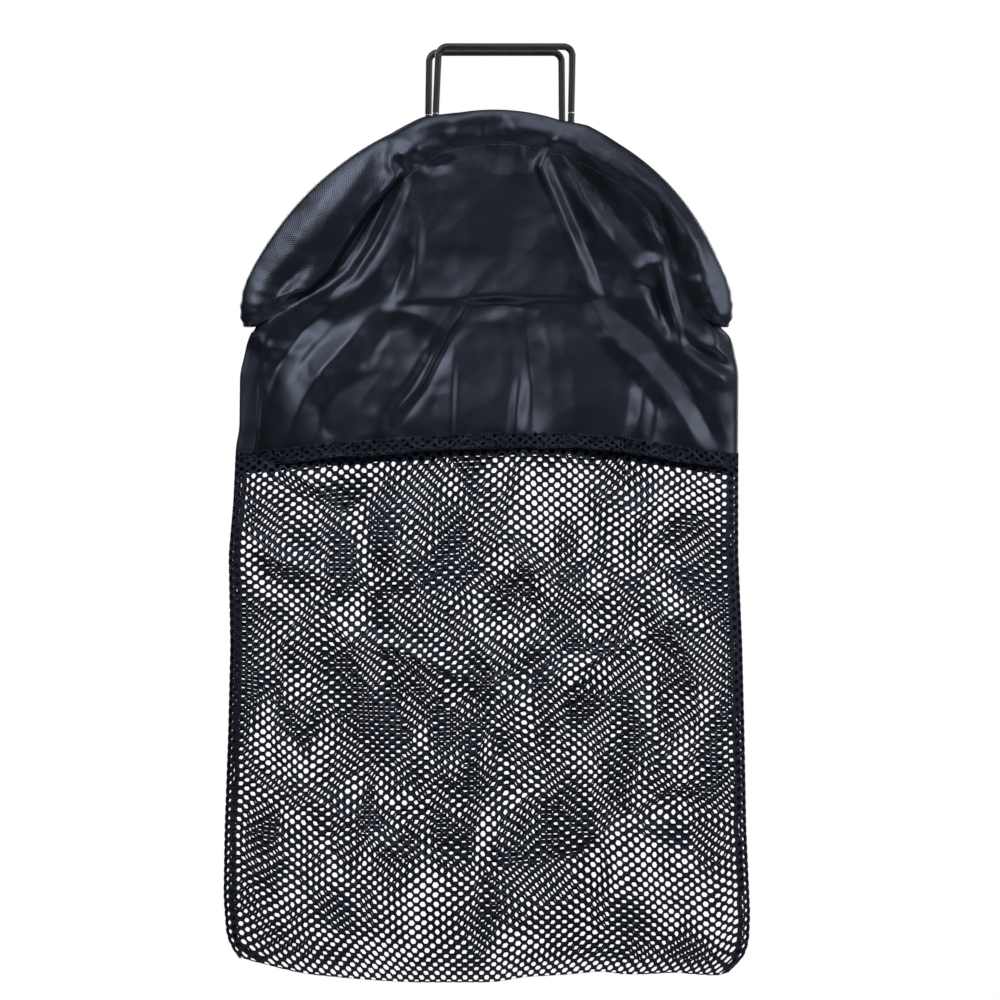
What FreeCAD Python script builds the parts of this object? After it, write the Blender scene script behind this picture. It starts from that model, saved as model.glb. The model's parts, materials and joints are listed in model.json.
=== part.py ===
"""Diver's catch bag: a wire-framed nylon mouth on a netting bag.

Millimetres. X runs across the bag, Y from its front to its back and Z up.
The origin is the place where the bag hangs: the underside of the rear grip's
bar, above the middle of the bag.
"""

import FreeCAD, Part
import math
import os

Vec = FreeCAD.Vector

# --- Frame: two bent rods that share one hinge line ---------------------------
ROD_R = 2.4                # 4.8 mm metal rod
TUBE_R = 3.0               # outside of the plastic tubing on the rod
TUBE_BORE_R = 2.45         # its inside
TUBE_GAP = 0.7             # bare metal between one tube and the next
FRONT_Y = -16.0            # plane of the front rod
REAR_Y = 0.0               # plane of the rear rod
HINGE_Y = (FRONT_Y + REAR_Y) / 2
HINGE_Z = -234.0
HINGE_X = 209.5            # the rods' ends, each side of the middle
TAB_RISE = 12.0            # height of the flattened end above the hinge
GRIP_BEND_R = 8.0
LEG_BEND_R = 9.0
ARM_BEND_R = 40.0
TUBE_END_GAP = 0.5         # bare metal between the tubing and the flattened end

# Corners of one arm, from the leg outwards: the foot of the leg, the
# shoulder and the side. The rods are bent by hand, so left and right differ.
LEFT_FOOT_Z = -59.5
LEFT_SHOULDER = (-157.5, -102.0)
LEFT_SHOULDER_R = 256.0
LEFT_SIDE_Z = -208.0
RIGHT_FOOT_Z = -67.0
RIGHT_SHOULDER = (175.5, -108.5)
RIGHT_SHOULDER_R = 208.0
RIGHT_SIDE_Z = -211.0

# Each grip: x of its bar's two corners, the bar's middle height, x of the feet
# of its two legs and the heights where its tubing ends on them. The rear bar's
# underside is z = 0.
FRONT_GRIP = {"bar": (-41.5, 76.0), "bar_z": 6.7, "feet": (-44.5, 74.5), "ends_z": (-51.5, -51.0)}
REAR_GRIP = {"bar": (-50.0, 66.5), "bar_z": TUBE_R, "feet": (-51.0, 67.0), "ends_z": (-51.5, -58.5)}

# --- Hinge --------------------------------------------------------------------
TAB_R = 5.5                # round end of the flattened rod
TAB_NECK_R = 3.0
TAB_THICK = 2.4
TAB_GAP = 1.4              # between the two rods' tabs, where the washer sits
RIVET_R = 2.0
RIVET_HOLE_R = 2.06
HOLE_HALF = 10.0           # half the length of the cylinder that cuts a hole
RIVET_HEAD_R = 4.2
RIVET_HEAD = 1.3
RIVET_PLAY = 0.12
WASHER_R = 4.6
WASHER_THICK = 1.1

# --- Nylon --------------------------------------------------------------------
CLOTH = 1.2
SLEEVE_R = 7.3
SLEEVE_BORE_R = 6.3
SLEEVE_BEND_R = 24.0
SLEEVE_END_Z = -221.0
HOOD_INSET = 8.0           # from the rod's line to the hood's edge
HOOD_BOTTOM_Z = -230.0
COLLAR_HALF = 218.0
COLLAR_TOP_Z = -245.0
SEAM_TOP_Z = -250.0
THREAD_R = 0.35
THREAD_INSET = 2.5         # from the edge that it holds
SLOT_R = 3.7               # hole in the sleeve for a leg
SLOT_LENGTH = 30.0

# --- Netting ------------------------------------------------------------------
NET = 1.6
NET_HALF = 228.0
HEM_Z = -351.0             # where the netting takes over from the nylon
HEM_HALF = 10.5
HEM_GAP = 0.3              # between the hem and the netting under it
HEM_ROW = 6.5              # from its middle to each row of stitching
BAG_DEPTH = 15.0           # from the seam plane to each face
BAG_INSET = 30.0           # width of the slope beside each seam
NET_BOTTOM_Z = -815.0
NET_LEFT_CORNER = (34.0, 20.0)    # how far it is cut back in x and in z
NET_RIGHT_CORNER = (12.0, 12.0)
TAPE_OUTER_X = 220.5
TAPE_WIDTH = 7.0
TAPE_HALF = 1.5
TAPE_FOOT = 34.0           # above the netting's lowest edge
SEAM_IN = 12.0             # from the collar's edge to its seam
SEAM_HALF = 3.0
TACK_HALF = 5.0
TACK_HEIGHT = 2.5

HOW_FAR = 400.0            # larger than anything a cutting block has to clear


def tangent_length(before, corner, after, radius):
    """How far from a corner its rounding starts."""
    turn = math.pi - (before - corner).getAngle(after - corner)
    return radius * math.tan(turn / 2)


def rounded_path(corners, y):
    """A wire through (x, z, radius) corners in the plane y, each one rounded."""
    points = [Vec(x, y, z) for x, z, _ in corners]
    edges, start = [], points[0]
    for before, corner, after, (_, _, radius) in zip(
        points, points[1:], points[2:], corners[1:-1]
    ):
        reach = tangent_length(before, corner, after, radius)
        into = corner + (before - corner).normalize() * reach
        out = corner + (after - corner).normalize() * reach
        inward = ((into + out) * 0.5 - corner).normalize()
        centre = corner + inward * math.hypot(reach, radius)
        edges.append(Part.LineSegment(start, into).toShape())
        edges.append(Part.Arc(into, centre - inward * radius, out).toShape())
        start = out
    edges.append(Part.LineSegment(start, points[-1]).toShape())
    return Part.Wire(edges)


def parallel(corners, inset):
    """The corners of a path that runs inset inside a path that always turns one way."""
    points = [Vec(x, 0, z) for x, z, _ in corners]
    moved = []
    for i, (corner, (_, _, radius)) in enumerate(zip(points, corners)):
        into = (corner - points[i - 1] if i > 0 else points[1] - corner).normalize()
        out = (points[i + 1] - corner if i + 1 < len(points) else into).normalize()
        inward = Vec(into.z + out.z, 0, -into.x - out.x).normalize()
        step = inset / math.cos(into.getAngle(out) / 2)
        place = corner + inward * step
        moved.append((place.x, place.z, max(radius - inset, 0)))
    return moved


def swept(path, radius, bore=0.0):
    """A round bar or a pipe along a path, one piece for each line and each arc."""
    runs = []
    for edge in path.Edges:
        start = edge.valueAt(edge.FirstParameter)
        is_arc = edge.Curve.TypeId == "Part::GeomCircle"
        if is_arc:
            heading = edge.Curve.Axis.cross(start - edge.Curve.Center)
        else:
            heading = edge.valueAt(edge.LastParameter) - start
        section = Part.Face(Part.Wire(Part.Circle(start, heading, radius).toShape()))
        if bore:
            hole = Part.Face(Part.Wire(Part.Circle(start, heading, bore).toShape()))
            section = section.cut(hole).Faces[0]
        if is_arc:
            turn = math.degrees(edge.LastParameter - edge.FirstParameter)
            runs.append(section.revolve(edge.Curve.Center, edge.Curve.Axis, turn))
        else:
            runs.append(section.extrude(heading))
    return runs[0].multiFuse(runs[1:]) if len(runs) > 1 else runs[0]


def block(x0, x1, y0, y1, z0, z1):
    return Part.makeBox(x1 - x0, y1 - y0, z1 - z0, Vec(x0, y0, z0))


def arm_corners(grip, side):
    """The corners of one arm from the foot of the grip's leg to the hinge."""
    foot_x = grip["feet"][0 if side < 0 else 1]
    foot_z, shoulder, shoulder_r, side_z = (
        (LEFT_FOOT_Z, LEFT_SHOULDER, LEFT_SHOULDER_R, LEFT_SIDE_Z)
        if side < 0
        else (RIGHT_FOOT_Z, RIGHT_SHOULDER, RIGHT_SHOULDER_R, RIGHT_SIDE_Z)
    )
    return [
        (foot_x, foot_z, LEG_BEND_R),
        (*shoulder, shoulder_r),
        (side * HINGE_X, side_z, ARM_BEND_R),
        (side * HINGE_X, HINGE_Z + TAB_RISE, 0),
    ]


def leg_point(grip, side, z):
    """A point on the middle line of a leg, at height z."""
    foot_x, foot_z, _ = arm_corners(grip, side)[0]
    bar_x = grip["bar"][0 if side < 0 else 1]
    share = (z - foot_z) / (grip["bar_z"] - foot_z)
    return foot_x + share * (bar_x - foot_x)


def rod(grip, y, tab_side):
    """One bent rod with its two flattened, pierced ends."""
    left = arm_corners(grip, -1)
    right = arm_corners(grip, 1)
    bar = [(x, grip["bar_z"], GRIP_BEND_R) for x in grip["bar"]]
    shape = swept(rounded_path(left[::-1] + bar + right, y), ROD_R)
    for side in (-1, 1):
        shape = shape.fuse(hinge_tab(side, y, tab_side))
    for side in (-1, 1):
        hole = Part.makeCylinder(
            RIVET_HOLE_R, 2 * HOLE_HALF,
            Vec(side * HINGE_X - HOLE_HALF, HINGE_Y, HINGE_Z), Vec(1, 0, 0),
        )
        shape = shape.cut(hole)
    return shape.removeSplitter()


def tab_span(side, tab_side):
    """The two x of a tab's faces. tab_side is 1 outside and -1 inside."""
    near = side * (HINGE_X + tab_side * TAB_GAP / 2)
    far = side * (HINGE_X + tab_side * (TAB_GAP / 2 + TAB_THICK))
    return min(near, far), max(near, far)


def hinge_tab(side, y, tab_side):
    """The flattened end: a plate from the hinge pin's hole up to the rod."""
    x0, x1 = tab_span(side, tab_side)
    low = Vec(x0, HINGE_Y, HINGE_Z)
    high = Vec(x0, y, HINGE_Z + TAB_RISE)
    along = (high - low).normalize()
    across = Vec(0, along.z, -along.y)
    sides = [
        low + across * TAB_R,
        high + across * TAB_NECK_R,
        high - across * TAB_NECK_R,
        low - across * TAB_R,
    ]
    plate = Part.Face(Part.makePolygon(sides + sides[:1])).extrude(Vec(x1 - x0, 0, 0))
    for centre, radius in ((low, TAB_R), (high, TAB_NECK_R)):
        plate = plate.fuse(Part.makeCylinder(radius, x1 - x0, centre, Vec(1, 0, 0)))
    return plate


def grip_tube(grip, y):
    """The tubing over the grip's bar and legs."""
    left_z, right_z = grip["ends_z"]
    path = (
        [(leg_point(grip, -1, left_z), left_z, 0)]
        + [(x, grip["bar_z"], GRIP_BEND_R) for x in grip["bar"]]
        + [(leg_point(grip, 1, right_z), right_z, 0)]
    )
    return swept(rounded_path(path, y), TUBE_R, TUBE_BORE_R)


def arm_tube(grip, side, y):
    """The tubing from just under the grip's tube down to the flattened end."""
    top_z = grip["ends_z"][0 if side < 0 else 1] - TUBE_GAP
    corners = arm_corners(grip, side)
    end_x, end_z, _ = corners[-1]
    path = (
        [(leg_point(grip, side, top_z), top_z, 0)]
        + corners[:-1]
        + [(end_x, end_z + TAB_NECK_R + TUBE_END_GAP, 0)]
    )
    return swept(rounded_path(path, y), TUBE_R, TUBE_BORE_R)


def arch_corners(grip, end_z):
    """The arch that the sleeve follows, from hinge to hinge past both feet."""
    left = arm_corners(grip, -1)
    right = arm_corners(grip, 1)
    return (
        [(-HINGE_X, end_z, 0)]
        + left[2:0:-1]
        + [(left[0][0], LEFT_FOOT_Z, SLEEVE_BEND_R)]
        + [(right[0][0], RIGHT_FOOT_Z, SLEEVE_BEND_R)]
        + right[1:3]
        + [(HINGE_X, end_z, 0)]
    )


def sleeve(grip, y):
    """The nylon tunnel round the arch, with a slot for each of the grip's legs."""
    shape = swept(rounded_path(arch_corners(grip, SLEEVE_END_Z), y), SLEEVE_R, SLEEVE_BORE_R)
    for side in (-1, 1):
        foot_x, foot_z, _ = arm_corners(grip, side)[0]
        slot = Part.makeCylinder(SLOT_R, SLOT_LENGTH, Vec(foot_x, y, foot_z), Vec(0, 0, 1))
        shape = shape.cut(slot)
    return shape


def hood(grip, y):
    """The nylon inside the arch, which swings with the rod."""
    corners = parallel(arch_corners(grip, HOOD_BOTTOM_Z), HOOD_INSET)
    arch = rounded_path(corners, y - CLOTH / 2)
    left, right = (Vec(x, y - CLOTH / 2, z) for x, z, _ in (corners[0], corners[-1]))
    edge = Part.LineSegment(right, left).toShape()
    return Part.Face(Part.Wire(arch.Edges + [edge])).extrude(Vec(0, CLOTH, 0))


def sleeve_thread(grip, y, facing):
    """The row of stitching along the sleeve's inner edge."""
    corners = parallel(arch_corners(grip, SLEEVE_END_Z), HOOD_INSET + THREAD_INSET)
    return swept(rounded_path(corners, y + facing * (CLOTH / 2 + THREAD_R)), THREAD_R)


def outline(half, bottom, top, inset):
    """The bag's outline in its seam plane, as (x, z) points, brought in by inset."""
    half, bottom = half - inset, bottom + inset
    (left_x, left_z), (right_x, right_z) = NET_LEFT_CORNER, NET_RIGHT_CORNER
    return [
        (-half, top),
        (-half, bottom + left_z),
        (-half + left_x, bottom),
        (half - right_x, bottom),
        (half, bottom + right_z),
        (half, top),
    ]


def bulge(facing, half, bottom, top, grow):
    """One solid half of the bag, from the seam plane out to its flat face."""
    rings = []
    for inset, depth in ((-grow, 0), (BAG_INSET - grow, BAG_DEPTH + grow)):
        points = [
            Vec(x, HINGE_Y + facing * depth, z) for x, z in outline(half, bottom, top, inset)
        ]
        rings.append(Part.makePolygon(points + points[:1]))
    return Part.makeLoft(rings, True, True)


def shell(facing, half, bottom, z0, z1, wall, grow=0.0):
    """One face of the bag, wall thick, between the heights z0 and z1."""
    top = z1 + HOW_FAR
    outer = bulge(facing, half, bottom, top, grow)
    inner = bulge(facing, half, bottom, top, grow - wall)
    band = block(-HOW_FAR, HOW_FAR, -HOW_FAR, HOW_FAR, z0, z1)
    return outer.cut(inner).common(band)


def net_panel(facing):
    return shell(facing, NET_HALF, NET_BOTTOM_Z, NET_BOTTOM_Z, HEM_Z, NET)


def collar(facing):
    """The nylon from under the hinge line down to the netting."""
    return shell(facing, COLLAR_HALF, HEM_Z - HOW_FAR, HEM_Z, COLLAR_TOP_Z, CLOTH)


def hem_band(facing):
    """The netting's doubled top edge, lapped over the foot of the nylon."""
    z0, z1 = HEM_Z - HEM_HALF, HEM_Z + HEM_HALF
    return shell(facing, NET_HALF, HEM_Z - HOW_FAR, z0, z1, NET, NET + HEM_GAP)


def hem_thread(facing):
    """Two rows of stitching along the hem."""
    y = HINGE_Y + facing * (BAG_DEPTH + NET + HEM_GAP + THREAD_R)
    reach = NET_HALF - BAG_INSET
    rows = [
        Part.makeCylinder(THREAD_R, 2 * reach, Vec(-reach, y, HEM_Z + rise), Vec(1, 0, 0))
        for rise in (-HEM_ROW, HEM_ROW)
    ]
    return Part.makeCompound(rows)


def side_tape(side):
    """The binding over the netting's side seam, turned to the inside."""
    x = side * (TAPE_OUTER_X - TAPE_WIDTH / 2)
    return block(
        x - TAPE_WIDTH / 2, x + TAPE_WIDTH / 2,
        HINGE_Y - TAPE_HALF, HINGE_Y + TAPE_HALF,
        NET_BOTTOM_Z + TAPE_FOOT, HEM_Z - HEM_HALF,
    )


def collar_seam(side):
    """The felled seam that joins front and rear nylon beside the hinge."""
    x = side * (COLLAR_HALF - SEAM_IN)
    return block(
        x - SEAM_HALF, x + SEAM_HALF, HINGE_Y - TAPE_HALF, HINGE_Y + TAPE_HALF,
        HEM_Z + HEM_HALF, SEAM_TOP_Z,
    )


def bar_tack(side):
    """Close zigzag stitching that ends the side seam under the hinge."""
    x = side * (COLLAR_HALF - SEAM_IN)
    return block(
        x - TACK_HALF, x + TACK_HALF, HINGE_Y - TAPE_HALF, HINGE_Y + TAPE_HALF,
        SEAM_TOP_Z, SEAM_TOP_Z + TACK_HEIGHT,
    )


def rivet(side):
    """Shank and two heads, along the hinge line."""
    inner, outer = tab_span(side, -1), tab_span(side, 1)
    x0 = min(inner + outer) - RIVET_PLAY
    x1 = max(inner + outer) + RIVET_PLAY
    along = Vec(1, 0, 0)
    shank = Part.makeCylinder(RIVET_R, x1 - x0, Vec(x0, HINGE_Y, HINGE_Z), along)
    shape = shank
    for x in (x0 - RIVET_HEAD, x1):
        head = Part.makeCylinder(RIVET_HEAD_R, RIVET_HEAD, Vec(x, HINGE_Y, HINGE_Z), along)
        shape = shape.fuse(head)
    return shape.removeSplitter()


def hinge_washer(side):
    """The spacer between the two rods' tabs."""
    at = Vec(side * HINGE_X - WASHER_THICK / 2, HINGE_Y, HINGE_Z)
    disc = Part.makeCylinder(WASHER_R, WASHER_THICK, at, Vec(1, 0, 0))
    return disc.cut(Part.makeCylinder(RIVET_HOLE_R, WASHER_THICK, at, Vec(1, 0, 0)))


def build():
    """Every piece by name."""
    pieces = {}
    frames = (
        ("front", FRONT_GRIP, FRONT_Y, 1, -1),
        ("rear", REAR_GRIP, REAR_Y, -1, 1),
    )
    for name, grip, y, tab_side, facing in frames:
        pieces[f"{name}_frame_rod"] = rod(grip, y, tab_side)
        pieces[f"{name}_grip_tube"] = grip_tube(grip, y)
        pieces[f"{name}_left_arm_tube"] = arm_tube(grip, -1, y)
        pieces[f"{name}_right_arm_tube"] = arm_tube(grip, 1, y)
        pieces[f"{name}_sleeve"] = sleeve(grip, y)
        pieces[f"{name}_hood"] = hood(grip, y)
        pieces[f"{name}_sleeve_thread"] = sleeve_thread(grip, y, facing)
        pieces[f"{name}_collar"] = collar(facing)
        pieces[f"{name}_hem_band"] = hem_band(facing)
        pieces[f"{name}_hem_thread"] = hem_thread(facing)
        pieces[f"{name}_net"] = net_panel(facing)
    for name, side in (("left", -1), ("right", 1)):
        pieces[f"{name}_hinge_rivet"] = rivet(side)
        pieces[f"{name}_hinge_washer"] = hinge_washer(side)
        pieces[f"{name}_side_tape"] = side_tape(side)
        pieces[f"{name}_collar_seam"] = collar_seam(side)
        pieces[f"{name}_bar_tack"] = bar_tack(side)
    return pieces


def main():
    os.makedirs("parts", exist_ok=True)
    for name, shape in build().items():
        solids = len(shape.Solids)
        print(f"{name:24s} {solids} solids, {shape.Volume / 1000:8.2f} cm3, valid {shape.isValid()}")
        shape.exportStep(f"parts/{name}.step")


main()
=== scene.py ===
"""The looks of a hanging catch bag: nylon, netting, tubing and stitching round its frame."""

import json
import math

import bmesh
import bpy
import numpy as np
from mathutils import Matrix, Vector, noise
from mathutils.geometry import delaunay_2d_cdt


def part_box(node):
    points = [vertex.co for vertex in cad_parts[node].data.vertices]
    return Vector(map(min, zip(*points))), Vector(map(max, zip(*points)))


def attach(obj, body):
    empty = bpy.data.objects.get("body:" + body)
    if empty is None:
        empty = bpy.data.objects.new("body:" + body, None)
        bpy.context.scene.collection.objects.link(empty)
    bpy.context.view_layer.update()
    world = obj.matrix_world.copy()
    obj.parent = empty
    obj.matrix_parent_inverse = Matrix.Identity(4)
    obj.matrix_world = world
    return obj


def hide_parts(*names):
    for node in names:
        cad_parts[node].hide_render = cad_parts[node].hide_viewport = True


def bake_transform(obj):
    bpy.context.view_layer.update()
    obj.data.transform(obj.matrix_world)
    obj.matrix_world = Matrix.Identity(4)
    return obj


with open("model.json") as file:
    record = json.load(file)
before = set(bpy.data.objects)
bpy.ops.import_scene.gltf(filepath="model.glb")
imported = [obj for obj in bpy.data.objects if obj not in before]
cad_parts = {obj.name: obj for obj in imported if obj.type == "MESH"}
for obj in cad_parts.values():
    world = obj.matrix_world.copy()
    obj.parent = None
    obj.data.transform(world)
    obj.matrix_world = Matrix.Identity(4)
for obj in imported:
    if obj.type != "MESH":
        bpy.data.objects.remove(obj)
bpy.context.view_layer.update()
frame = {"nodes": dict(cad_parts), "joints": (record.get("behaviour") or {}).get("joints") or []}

# Places and sizes below are in millimetres, and become metres in set_places().
MM = 0.001

# --- Taken from the frame -----------------------------------------------------
HINGE_Y, HINGE_Z = (frame["joints"][0]["pos_m"][i] / MM for i in (1, 2))


def middle(node, axis):
    low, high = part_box(node)
    return (low[axis] + high[axis]) / 2 / MM


FRONT_Y = middle("front_hood", 1)
REAR_Y = middle("rear_hood", 1)
HEM_Z = middle("front_hem_band", 2)
NET_BOTTOM_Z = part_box("front_net")[0].z / MM

# --- Nylon --------------------------------------------------------------------
HOOD_INSET = 8.0            # from the rod's line to the edge of the frame's hood
NYLON_THICK = 0.5
COLLAR_DEPTH = 7.5          # how far the bag's faces stand off its seam plane at the hinge
COLLAR_LEAN = 6.5           # and how much further at the netting
COLLAR_EDGE = 12.0          # how quickly they get there from the side
FACING_WIDTH = 18.0         # the flat strip down the left side
SLEEVE_FRONT = 10.0         # how far a sleeve's two leaves puff out from the rod
SLEEVE_BACK = 3.8
SLEEVE_END = 0.018          # share of the arch by which a sleeve runs past each hinge
SLEEVE_CUT = (640.0, 118.0)  # the sleeve's cloth before it is sewn: along the rod, and round it
REAR_LIP = 0.3              # how far the rear sleeve's sewn edge stands up, from 0 to 1
NYLON_CUT_WIDTH = 446.0
FACING_CUT = (FACING_WIDTH - 1.0, 108.0)
FACING_FOOT_Z = -352.0
PANEL_BOTTOM_Z = -362.0
MAP_STEP = 1.5              # spacing of the map of the nylon's folds
HEM_LAP = 9.0               # nylon behind the hem
REAR_HEM_DROP = 6.0         # the rear nylon is cut this much longer
THREAD_R = 0.32             # of the sewing thread

# Half outlines of the bag below the hinge, as (z, x), top to bottom.
LEFT_EDGE = (
    (-236, -201), (-250, -209), (-264, -212), (-280, -216), (-330, -216.5), (-343, -219.5),
    (-395, -222), (-440, -226), (-520, -224.5), (-600, -226.5), (-680, -229.5), (-740, -230.5),
    (-775, -228), (-790, -221), (-816, -200),
)
RIGHT_EDGE = (
    (-236, 208), (-250, 215.5), (-264, 219), (-280, 222), (-340, 221.5), (-440, 221.5),
    (-520, 225), (-600, 227), (-680, 228.5), (-755, 232), (-780, 231), (-795, 226), (-816, 205),
)
# Where the netting starts and ends, as (x, z), left to right.
HEM_TOP = (
    (-222, -352), (-208, -351), (-137, -343), (-75, -338.5), (-32, -336), (30, -333.5),
    (75, -334.5), (118, -337.5), (170, -346), (223, -353),
)
FOOT_LINE = (
    (-216, -794), (-190, -801), (-160, -808), (-111, -813), (-70, -815.5), (8, -815.5),
    (34, -811), (70, -809), (100, -806), (127, -809), (165, -807), (206, -810), (222, -803),
)

# Folds of the front nylon: height towards the viewer, reach to the left and to
# the right of the line as it runs, and the line itself as (x, z).
FOLDS = (
    # the left sleeve's sewn edge, and the slack below it
    (6.0, 30, 5, ((-84, -84), (-80, -106), (-90, -133), (-105, -166), (-121, -190), (-139, -205),
                  (-154, -213), (-180, -228), (-206, -240))),
    (-5.0, 5, 14, ((-70, -112), (-82, -134), (-98, -168), (-116, -194), (-140, -212))),
    (5.0, 12, 16, ((-68, -156), (-84, -176), (-104, -200), (-128, -222))),
    (-4.5, 8, 10, ((-70, -168), (-76, -192), (-84, -216))),
    (3.4, 6, 10, ((-58, -150), (-62, -180), (-66, -208))),
    # the left sleeve's own folds
    (4.4, 26, 22, ((-126, -104), (-146, -132), (-172, -172), (-196, -214))),
    (-5.0, 6, 12, ((-158, -186), (-178, -204), (-197, -232))),
    (2.4, 10, 12, ((-98, -88), (-118, -118), (-146, -158))),
    # puckers under the left leg
    (3.6, 8, 6, ((-84, -72), (-64, -80), (-54, -96), (-68, -106))),
    (-4.0, 5, 6, ((-86, -88), (-76, -96), (-70, -108))),
    (3.0, 6, 9, ((-62, -78), (-42, -83), (-26, -90))),
    (-3.2, 6, 5, ((-62, -94), (-48, -100), (-34, -96))),
    (2.6, 6, 6, ((-90, -94), (-76, -88), (-62, -90))),
    # top band between the legs
    (3.6, 12, 10, ((-82, -68), (-40, -59), (0, -54), (26, -54))),
    (-3.4, 8, 8, ((-74, -70), (-40, -66), (0, -62), (28, -60))),
    (2.2, 12, 12, ((-40, -70), (0, -72), (40, -76))),
    # long folds from the right of the band
    (4.6, 8, 12, ((30, -58), (62, -78), (104, -96), (142, -118), (168, -146))),
    (-6.0, 10, 12, ((60, -80), (74, -92), (111, -138), (134, -166), (154, -186))),
    (4.2, 9, 9, ((84, -84), (112, -108), (140, -140), (152, -170))),
    (-4.2, 7, 8, ((140, -108), (152, -134), (159, -156), (160, -182))),
    (5.0, 12, 14, ((152, -120), (178, -152), (192, -188), (199, -222))),
    (3.0, 8, 8, ((172, -146), (182, -176), (188, -206))),
    (-2.8, 6, 6, ((166, -142), (180, -172), (184, -204))),
    # tent and stripes of the hood's right half
    (7.0, 16, 4, ((58, -80), (48, -98), (62, -132), (76, -168), (88, -210))),
    (-5.5, 9, 6, ((56, -92), (67, -118), (82, -152), (96, -186), (106, -212))),
    (3.6, 4, 9, ((44, -98), (54, -128), (68, -168), (80, -210))),
    (5.0, 8, 9, ((64, -86), (80, -112), (98, -152), (114, -200))),
    (-3.0, 6, 8, ((96, -150), (106, -176), (116, -206))),
    (4.0, 8, 6, ((132, -196), (142, -184), (154, -182), (160, -200))),
    (6.0, 5, 7, ((152, -184), (158, -206), (164, -228), (171, -252))),
    (-6.0, 8, 6, ((136, -200), (146, -206), (152, -222), (162, -244))),
    # flat middle of the hood
    (1.8, 26, 20, ((-20, -90), (-14, -130), (-20, -176))),
    (-1.8, 26, 26, ((18, -104), (24, -150), (16, -196))),
    # crease across, where hood meets collar
    (3.2, 2, 26, ((96, -214), (60, -213), (0, -214), (-40, -216), (-80, -217))),
    (3.2, 9, 12, ((-92, -224), (-60, -228), (-34, -243))),
    (-6.0, 6, 10, ((-16, -222), (10, -219), (34, -222))),
    # folds that run down the collar
    (8.0, 3, 34, ((-17, -219), (-35, -246), (-58, -292), (-82, -322))),
    (-4.4, 12, 5, ((-24, -228), (-44, -258), (-64, -292), (-84, -318))),
    (3.0, 3, 12, ((-28, -264), (-30, -300), (-31, -338))),
    (-5.2, 12, 12, ((34, -232), (38, -262), (40, -300), (40, -338))),
    (3.4, 7, 4, ((30, -280), (27, -310), (24, -338))),
    (8.5, 22, 10, ((90, -216), (108, -246), (140, -276), (168, -312), (186, -342))),
    (-8.0, 8, 22, ((104, -218), (140, -246), (168, -282), (190, -316), (202, -342))),
    (3.6, 8, 8, ((138, -284), (136, -312), (130, -340))),
    (-2.6, 7, 7, ((152, -296), (150, -318), (146, -340))),
    (9.0, 16, 13, ((-98, -226), (-122, -254), (-145, -280), (-162, -308), (-176, -342))),
    (-7.5, 10, 12, ((-140, -224), (-164, -246), (-184, -276), (-194, -312))),
    (-4.0, 8, 22, ((-152, -284), (-146, -308), (-143, -340))),
    (3.0, 22, 18, ((-112, -262), (-96, -296), (-92, -336))),
    (2.6, 18, 18, ((62, -234), (76, -276), (80, -336))),
    # bunching under the hinges
    (5.0, 6, 7, ((170, -236), (186, -252), (206, -262), (222, -268))),
    (-4.6, 5, 6, ((174, -248), (194, -264), (222, -278))),
    (4.6, 7, 8, ((162, -242), (178, -264), (200, -282), (221, -288))),
    (3.0, 5, 6, ((196, -236), (204, -252), (220, -256))),
    (3.4, 8, 8, ((-206, -246), (-190, -258), (-170, -262))),
)
FLAT_SPOTS = ((4, -150, 62, 60), (2, -290, 34, 44), (74, -290, 34, 46))   # (x, z, half width, height)

# --- Netting ------------------------------------------------------------------
CELL_X = 10.35              # holes' spacing in a row
CELL_Z = 8.1                # two rows
HOLE_R = 2.7                # from a hole's middle to its corners
NET_COLUMNS = 46
NET_ROWS = 57
NET_THICK = 0.9
NET_DEPTH = 12.5            # how far each face stands off the side seams' plane
NET_ROLL = 3.0              # how tightly the netting turns back at the side seams
NET_BEHIND = 9.0            # how far it then runs in to the seam
NET_STEP = 3.0              # spacing of the map of its folds
NET_FULL = 5.0              # how strongly a fold's slope draws the netting together
HEM_CORE_CUT = (446.0, 15.0)
HEM_LAYERS = 3

NET_FOLDS = (
    (7.0, 16, 24, ((-183, -362), (-149, -391), (-139, -428), (-143, -470), (-160, -520))),
    (7.0, 22, 14, ((-64, -392), (-82, -428), (-78, -444), (-66, -457), (-53, -500), (-55, -560))),
    (6.0, 14, 20, ((65, -349), (89, -374), (95, -386), (124, -403), (145, -391), (172, -380), (220, -380))),
    (6.0, 18, 12, ((151, -472), (157, -486), (180, -527), (180, -545), (190, -580), (186, -640))),
    (6.5, 12, 26, ((-10, -480), (4, -540), (-2, -620), (10, -700), (6, -790))),
    (5.0, 20, 14, ((-120, -540), (-96, -600), (-110, -680), (-90, -760))),
    (5.0, 14, 22, ((110, -560), (96, -640), (112, -720), (104, -790))),
    (5.0, 16, 16, ((-200, -560), (-170, -640), (-186, -720), (-170, -780))),
    (4.5, 12, 16, ((-160, -470), (-110, -520), (-60, -530), (10, -560), (70, -600))),
    (4.5, 16, 12, ((190, -470), (130, -520), (70, -540), (0, -600), (-60, -660))),
    (4.5, 12, 14, ((-30, -350), (-10, -400), (20, -440), (60, -470), (120, -470))),
    (4.0, 12, 12, ((-214, -420), (-180, -450), (-120, -460))),
    (4.0, 14, 12, ((40, -640), (90, -680), (150, -690), (200, -740))),
    (4.0, 12, 14, ((-210, -640), (-150, -650), (-80, -700), (-20, -720))),
    (-6.0, 12, 14, ((-105, -380), (-112, -430), (-100, -500), (-70, -590), (-60, -700))),
    (-5.0, 12, 14, ((30, -380), (44, -440), (34, -520), (50, -620), (44, -740))),
    (-5.0, 14, 12, ((140, -430), (134, -500), (150, -600), (144, -700))),
)


# --- Curves -------------------------------------------------------------------
def smooth_step(low, high, value):
    share = np.clip((value - low) / (high - low), 0, 1)
    return share * share * (3 - 2 * share)


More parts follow.
